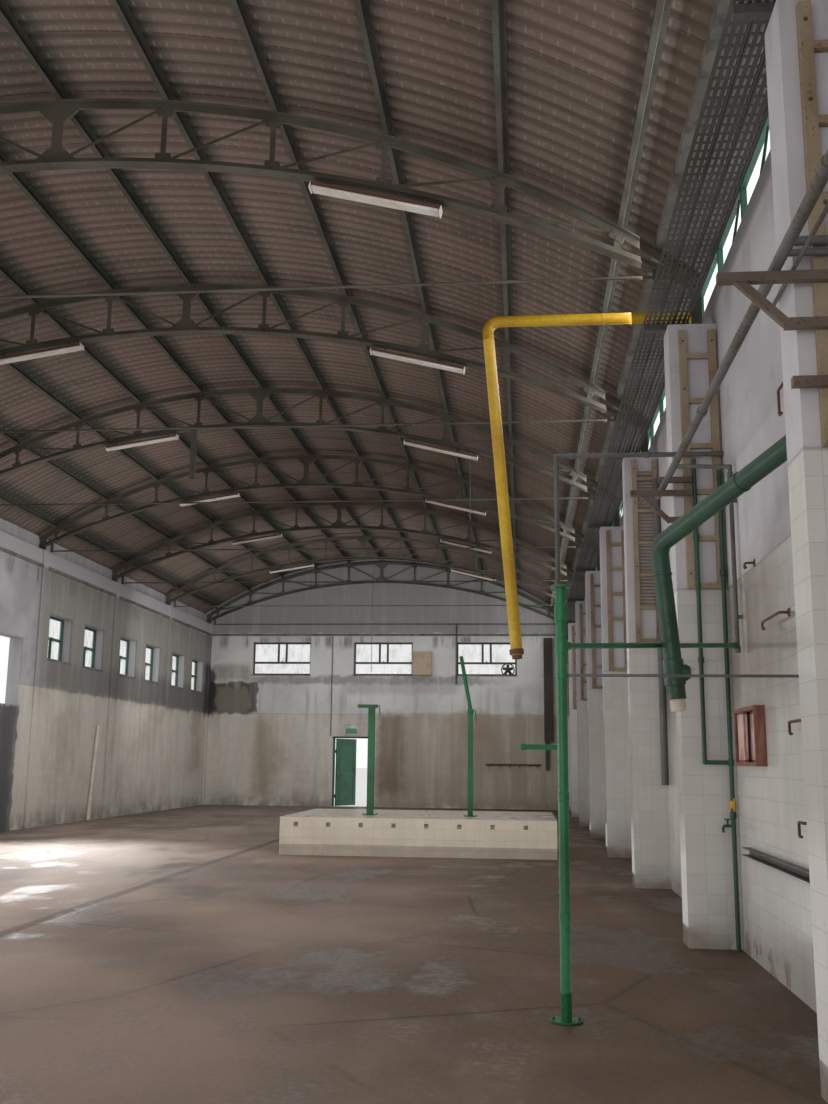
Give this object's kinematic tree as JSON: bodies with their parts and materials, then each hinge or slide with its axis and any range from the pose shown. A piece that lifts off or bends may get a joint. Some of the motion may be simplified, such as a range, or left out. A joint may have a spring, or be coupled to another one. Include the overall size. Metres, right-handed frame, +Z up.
{
  "type": "factory hall building",
  "caption": "Long arched-roof factory hall with crescent lattice trusses, windowed masonry walls, clerestory, deep piers, pipework and a hinged end door.",
  "frame": {"origin": "middle of the ground face, on the hall's long centre line, at ground level", "axes": "+Z up, +Y along the hall towards the gable with the door, +X towards the side wall with the deep piers"},
  "size_m": [12.5237, 38.8828, 7.8603],
  "materials": {
    "floor_concrete": "worn grey-brown concrete",
    "plaster": "stained painted plaster over a tiled dado",
    "tile": "cream glazed tile",
    "concrete": "weathered concrete",
    "steel": "dull grey-green painted steel",
    "dark_steel": "dark punched steel",
    "window_green": "faded green paint",
    "glass": "dusty clear glass",
    "roof_sheet": "brown-grey corrugated cement sheet",
    "door_green": "green paint",
    "rack_cream": "cream paint",
    "pipe_yellow": "yellow paint",
    "pipe_green": "green paint",
    "pipe_dark_green": "dark green paint",
    "grey_steel": "dull grey steel",
    "duct_brown": "dark brown paint",
    "wood": "old reddish wood",
    "lamp_white": "white enamel",
    "box_beige": "beige paint",
    "drain_cream": "cream plastic"
  },
  "bodies": {
    "building": {"floor_slab": "floor_concrete", "left_wall_lower": "plaster", "left_wall_window_piers": "plaster", "left_wall_upper": "plaster", "left_wall_pilasters": "plaster", "right_wall": "plaster", "right_wall_piers": "tile", "eave_posts": "steel", "eave_slab": "concrete", "clerestory_frames": "window_green", "back_wall_left": "plaster", "back_wall_right": "plaster", "back_wall_over_door": "plaster", "back_window_piers": "plaster", "back_gable": "plaster", "front_wall_lower": "plaster", "front_window_piers": "plaster", "front_gable": "plaster", "wall_ledges": "concrete", "window_frames": "window_green", "window_glass": "glass", "trusses_front": "steel", "trusses_middle": "steel", "trusses_back": "steel", "tie_rods": "steel", "purlins": "steel", "roof_sheets_left": "roof_sheet", "roof_sheets_right": "roof_sheet", "door_frame": "door_green", "perforated_tray": "dark_steel", "pipe_rack_frames": "rack_cream", "pipe_brackets": "rack_cream", "yellow_pipe": "pipe_yellow", "green_standpipes": "pipe_green", "green_drop_pipe": "pipe_dark_green", "pier_pipes": "pipe_dark_green", "grey_steelwork": "grey_steel", "lamps": "lamp_white", "tiled_platform": "tile", "platform_posts": "pipe_green", "wall_box": "box_beige", "wall_duct": "duct_brown", "wall_frame": "wood", "drain_pipe": "drain_cream"},
    "door": {"door_leaf": "door_green"}
  },
  "joints": [
    {"name": "door_hinge", "type": "hinge", "parent": "building", "child": "door", "pos_m": [-1.692, 18.957, 0.2], "axis": [0, 0, 1], "range_deg": [-62, 48]}
  ]
}
